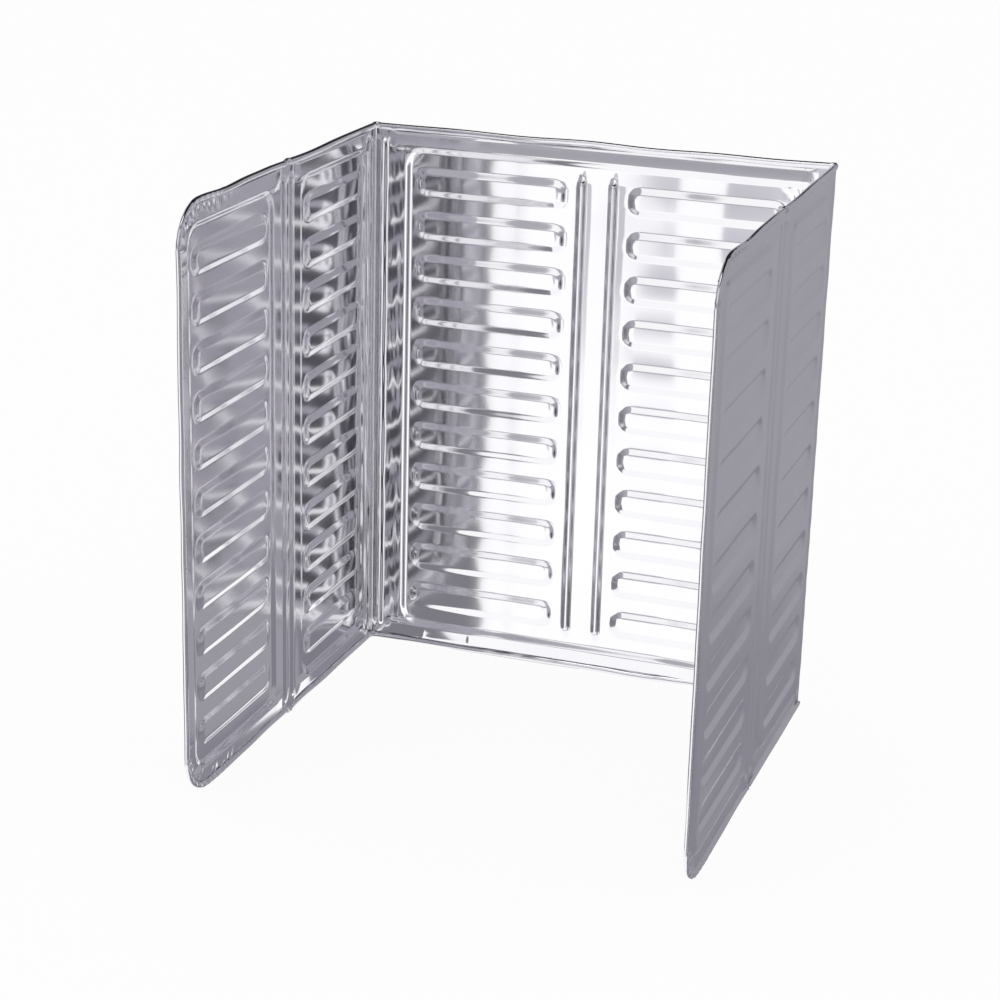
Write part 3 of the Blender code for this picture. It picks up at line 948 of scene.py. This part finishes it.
# %% Hem round an outer leaf
def outer_hem(name, matrix, left_wing):
    """The hem of a wing's outer leaf: along the top, round the front edge, back below."""
    arc = CORNER_RADIUS * math.pi / 2
    straight = OUTER_WIDTH - HEM_CREASE_GAP - CORNER_RADIUS
    upright = HEIGHT - 2 * CORNER_RADIUS
    marks = np.cumsum([0.0, straight, arc, upright, arc, straight])
    pleats = [
        (marks[1] - PLEATS_ALONG, marks[2] + PLEATS_DOWN),
        (marks[3] - PLEATS_DOWN, marks[4] + PLEATS_ALONG),
    ]
    columns = grid_lines(0.0, marks[5], [(*pleat, PLEAT_STEP) for pleat in pleats], HEM_STEP)
    sheet = lined_grid(columns, np.linspace(0.0, 1.0, SECTION_POINTS))

    def shape(run, share):
        pleated = np.zeros_like(run)
        for start, end in pleats:
            past = np.maximum(start - run, run - end)
            pleated = np.maximum(pleated, pressed(past, PLEATS_FADE))
        reach, level = uneven_hem(run, share, OUTER_HEM_SEED, pleated)
        turn_one = np.clip((run - marks[1]) / arc, 0.0, 1.0) * math.pi / 2
        turn_two = np.clip((run - marks[3]) / arc, 0.0, 1.0) * math.pi / 2
        turn = turn_one + turn_two
        along = OUTER_WIDTH - HEM_CREASE_GAP - np.minimum(run, marks[1])
        along = along - CORNER_RADIUS * np.sin(turn_one)
        along = along + CORNER_RADIUS * (1.0 - np.cos(turn_two)) + np.maximum(run - marks[4], 0.0)
        up = HEIGHT - CORNER_RADIUS * (1.0 - np.cos(turn_one))
        up = up - np.clip(run - marks[2], 0.0, upright) - CORNER_RADIUS * np.sin(turn_two)
        along = along + reach * np.sin(turn)
        up = up - reach * np.cos(turn)
        if not left_wing:
            along = BLANK_LENGTH - along
        return stand_up(matrix, along, up, level - FOIL_THICKNESS / 2)

    if left_wing:
        bmesh.ops.reverse_faces(sheet, faces=sheet.faces[:])
    return finished(name, sheet, shape, [HEMMED_FOIL, HEMMED_FOIL])


# %% All the hems
STRAIGHT_HEMS = [
    ("left_inner", LEFT_MIDDLE, LEFT_CORNER, LEFT_WALL),
    ("back", LEFT_CORNER, RIGHT_CORNER, BACK_WALL),
    ("right_inner", RIGHT_CORNER, RIGHT_MIDDLE, RIGHT_WALL),
]
for leaf, left, right, matrix in STRAIGHT_HEMS:
    for edge, top in (("top", True), ("bottom", False)):
        low, high = left + HEM_CREASE_GAP, right - HEM_CREASE_GAP
        item = hem_run(f"{leaf}_{edge}_turned_edge", low, high, top, matrix)
        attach(item, f"{leaf}_leaf")
        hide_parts(f"{leaf}_{edge}_hem")
for side, matrix in (("left", LEFT_WALL), ("right", RIGHT_WALL)):
    item = outer_hem(f"{side}_outer_turned_edge", matrix, side == "left")
    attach(item, f"{side}_outer_leaf")
    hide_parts(f"{side}_outer_hem")

# %% Pinched hem at the creases
for name, crease, first, second, before, after in CREASE_STRIPS:
    for edge, top in (("top", True), ("bottom", False)):
        low, high = crease - HEM_CREASE_GAP, crease + HEM_CREASE_GAP
        item = hem_run(f"{name}_{edge}_pinch", low, high, top, first, second, crease)
        blend_over(item)

# %% [markdown]
# ## The studio
#
# A mirror shows its room, so the room is part of the finish. To the camera the floor and
# the sky are white paper. The foil doesn't see the floor: it looks past it at far cards,
# so that only the direction of a reflection counts, as with a guard that stands on white
# glass in a tent of cards. Three aprons hang below the floor, where a reflection passes
# under the foot of a leaf, and carry that leaf's tone on downwards.

# %% Floor and sky
FLOOR_SIZE = 30.0
FLOOR_GLOW = 0.95
FLOOR_DROP = 0.0003
FLOOR_PAPER = "#F2F2F2"
SKY_ON_THINGS = 0.8
WHITE = (1.0, 1.0, 1.0, 1.0)


def white_to_camera_and_foil(tree):
    """1 for rays from the camera, mirrors and glass, 0 for light that falls on things."""
    path = add_node(tree, "ShaderNodeLightPath", {})
    seen = path.outputs["Is Camera Ray"]
    for kind in ("Is Glossy Ray", "Is Transmission Ray"):
        either = add_node(tree, "ShaderNodeMath", {"operation": "MAXIMUM"})
        tree.links.new(seen, either.inputs[0])
        tree.links.new(path.outputs[kind], either.inputs[1])
        seen = either.outputs[0]
    return seen


def stage_object(name, sheet, material):
    """A piece of the studio, made from a bmesh."""
    mesh = bpy.data.meshes.new(name)
    sheet.to_mesh(mesh)
    sheet.free()
    mesh.materials.append(material)
    item = bpy.data.objects.new(name, mesh)
    bpy.context.scene.collection.objects.link(item)
    item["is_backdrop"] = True
    return item


def make_floor():
    """White paper that glows a little under itself, and still takes a soft shadow."""
    material, tree = empty_material("white_paper_floor")
    seen = white_to_camera_and_foil(tree)
    share = add_node(tree, "ShaderNodeMath", {"operation": "MULTIPLY"}, [(0, seen)])
    share.inputs[1].default_value = FLOOR_GLOW
    paper = add_node(tree, "ShaderNodeBsdfDiffuse", {"Color": (*linear(FLOOR_PAPER), 1.0)})
    glow = add_node(tree, "ShaderNodeEmission", {"Strength": 1.0})
    mixed = add_node(
        tree,
        "ShaderNodeMixShader",
        {},
        [("Fac", share.outputs[0]), (1, paper.outputs[0]), (2, glow.outputs[0])],
    )
    add_node(tree, "ShaderNodeOutputMaterial", {}, [("Surface", mixed.outputs[0])])
    half = FLOOR_SIZE / 2
    sheet = lined_grid(np.array([-half, half]), np.array([-half, half]))
    floor = stage_object("floor", sheet, material)
    floor.location.z = -FLOOR_DROP
    floor.visible_glossy = False


def make_sky():
    """A sky that is pure white to the camera and softer where it lights things."""
    world = bpy.data.worlds.new("white_studio")
    bpy.context.scene.world = world
    world.use_nodes = True
    tree = world.node_tree
    tree.nodes.clear()
    seen = white_to_camera_and_foil(tree)
    dim = add_node(tree, "ShaderNodeBackground", {"Color": WHITE, "Strength": SKY_ON_THINGS})
    white = add_node(tree, "ShaderNodeBackground", {"Color": WHITE, "Strength": 1.0})
    mixed = add_node(
        tree, "ShaderNodeMixShader", {}, [("Fac", seen), (1, dim.outputs[0]), (2, white.outputs[0])]
    )
    add_node(tree, "ShaderNodeOutputWorld", {}, [("Surface", mixed.outputs[0])])


make_floor()
make_sky()
print("floor", FLOOR_SIZE, "m wide, glowing by", FLOOR_GLOW)

# %% [markdown]
# ## Cards round the foil
#
# Each card fills a range of directions and glows in one tone. From the camera the back
# looks front left, the left wing looks front right after two reflections, and the right
# wing's outside looks behind. Walls that lean down look at the white paper below, and
# walls that lean up look at the room above. Only mirrors see the cards.

# %% Far cards and aprons
CARD_STEP = 6.0
CENTRE = Vector((0.0, 0.0, 0.16))


def bearing(azimuth, elevation):
    """A direction; azimuth 0 is the front, 90 the right, and elevation is up."""
    turn, tilt = math.radians(azimuth), math.radians(elevation)
    level = Vector((math.sin(turn), -math.cos(turn), 0.0)) * math.cos(tilt)
    return level + UP * math.sin(tilt)


def make_card(name, colour, strength, sheet):
    """A glowing card that only mirrors can see."""
    material, tree = empty_material(name)
    light = {"Color": (*linear(colour), 1.0), "Strength": strength}
    tone = add_node(tree, "ShaderNodeEmission", light)
    add_node(tree, "ShaderNodeOutputMaterial", {}, [("Surface", tone.outputs[0])])
    card = stage_object(name, sheet, material)
    card.visible_camera = False
    card.visible_diffuse = False
    card.visible_shadow = False


def far_card(name, colour, strength, azimuths, elevations, distance):
    """A bent card that fills a range of directions."""
    across, upward = [
        np.linspace(low, high, 2 + int((high - low) / CARD_STEP)) for low, high in (azimuths, elevations)
    ]
    sheet = lined_grid(across, upward)
    for vert in sheet.verts:
        vert.co = CENTRE + bearing(vert.co.x, vert.co.y) * distance
    make_card(name, colour, strength, sheet)


def apron(name, colour, strength, start, end, top, bottoms):
    """An upright card below the floor, which takes up where a leaf ends; it tapers."""
    sheet = lined_grid(np.array([0.0, 1.0]), np.array([0.0, 1.0]))
    for vert in sheet.verts:
        low = bottoms[0] + (bottoms[1] - bottoms[0]) * vert.co.x
        vert.co = start.lerp(end, vert.co.x) + UP * (low + (top - low) * vert.co.y)
    make_card(name, colour, strength, sheet)


FAR_CARDS = [
    # The room above: light where the back's white part looks, and a dark ceiling.
    ("room_upper", "#A9A8AF", 1.0, (-90, 90), (-3, 9), 4.6),
    ("room_high_left", "#B4B3BA", 1.0, (-90, -19), (9, 45), 4.6),
    ("room_high_middle", "#FFFFFF", 1.1, (-19, 12), (9, 45), 4.6),
    ("room_high_right", "#B6B5BC", 1.0, (12, 90), (9, 45), 4.6),
    ("room_ceiling", "#161517", 1.0, (-180, 180), (45, 90), 4.8),
    # White paper, which gives the back and the lower walls of the pads their glare.
    ("white_paper_front_left", "#FFFFFF", 1.2, (-58, 12), (-28, -3), 4.0),
    ("white_paper_low", "#FFFFFF", 1.12, (-80, 80), (-80, -28), 4.0),
    ("white_paper_low_behind", "#FFFFFF", 1.12, (171, 280), (-80, -28), 4.0),
    ("lilac_card_below_behind", "#8F8E97", 1.0, (80, 171), (-80, -28), 4.0),
    ("grey_patch_front_left", "#D2D1D8", 1.0, (-15.5, -8), (-14.5, -3), 3.8),
    # Front right: grey for the left wing, dark for its inner leaf and for the ribs.
    ("card_front_right_a", "#B8B7BE", 1.0, (12, 18.5), (-28, -3), 4.0),
    ("card_front_right_b", "#4C4B51", 1.0, (18.5, 25.4), (-17.5, -3), 4.0),
    ("card_front_right_b_low", "#3A393F", 1.0, (18.5, 25.4), (-34, -17.5), 3.9),
    ("card_front_right_c", "#ACABB2", 1.0, (25.4, 44), (-28, -3), 4.0),
    ("card_front_right_low", "#77767D", 1.0, (17, 44), (-34, -28), 3.95),
    ("dark_card_front_right", "#38373C", 1.0, (44, 57.6), (-28, -3), 4.0),
    # The sides: dark, with one lit card that draws the bright line on the ribs.
    ("lit_card_right", "#FFFFFF", 1.1, (57.6, 66), (-28, -3), 4.0),
    ("dark_card_right", "#2A292C", 1.0, (66, 80), (-28, 12), 4.0),
    ("dark_card_left", "#2A292C", 1.0, (-80, -58), (-28, 12), 4.0),
    # Behind: the even lilac grey of the right wing's outside.
    ("grey_card_behind", "#A6A5AC", 1.0, (80, 280), (-21.5, 17), 4.0),
    ("lilac_card_behind_low", "#85848D", 1.0, (80, 280), (-28, -21.5), 4.0),
    ("dark_card_behind", "#2A292C", 1.0, (135, 225), (17, 52), 4.2),
    ("grey_card_behind_high", "#A6A5AC", 1.0, (80, 280), (17, 52), 4.4),
]
for row in FAR_CARDS:
    far_card(*row)

APRON_TOP = -0.001
APRON_SPLIT = 0.052
left_fold = folds["left_corner_fold"].xy.to_3d()
wing_front = Vector((left_fold.x, CAD_LOW.y, 0.0))
apron_split = left_fold + Vector((APRON_SPLIT, 0.0, 0.0))
back_middle = Vector((0.0, left_fold.y, 0.0))
APRONS = [
    ("grey_apron_left", "#85848B", 1.0, wing_front, left_fold, APRON_TOP, (-0.100, -0.055)),
    ("grey_apron_back", "#A3A2A9", 1.0, apron_split, back_middle, APRON_TOP, (-0.040, -0.110)),
    ("white_apron_back", "#FFFFFF", 1.12, left_fold, apron_split, -0.045, (-0.200, -0.200)),
]
for row in APRONS:
    apron(*row)
print(len(FAR_CARDS), "far cards and", len(APRONS), "aprons")

# %% [markdown]
# ## One soft lamp
#
# The cards give the foil its tones, so one weak softbox is enough: it lays the faint
# shadow on the floor that keeps the guard standing.

# %% Lamp and colour setting
def make_lamp(name, azimuth, elevation, distance, width, height, power):
    """A softbox that looks at the middle of the part."""
    data = bpy.data.lights.new(name, "AREA")
    data.shape = "RECTANGLE"
    data.size = width
    data.size_y = height
    data.energy = power
    lamp = bpy.data.objects.new(name, data)
    lamp.location = CENTRE + bearing(azimuth, elevation) * distance
    lamp.rotation_mode = "QUATERNION"
    lamp.rotation_quaternion = (CENTRE - lamp.location).to_track_quat("-Z", "Y")
    bpy.context.scene.collection.objects.link(lamp)


make_lamp(
    "softbox_front_left", azimuth=-22, elevation=62, distance=2.6, width=1.2, height=1.0, power=6.0
)
bpy.context.scene.view_settings.view_transform = "Standard"
print("one lamp, colours shown as they are")

# %% Sizes of the part and of the dressed model
low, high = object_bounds()
below = [round(step * 1000, 2) for step in CAD_LOW - low]
above = [round(step * 1000, 2) for step in high - CAD_HIGH]
print("the dressed model stands out of the part's box in mm by", below, "and", above)
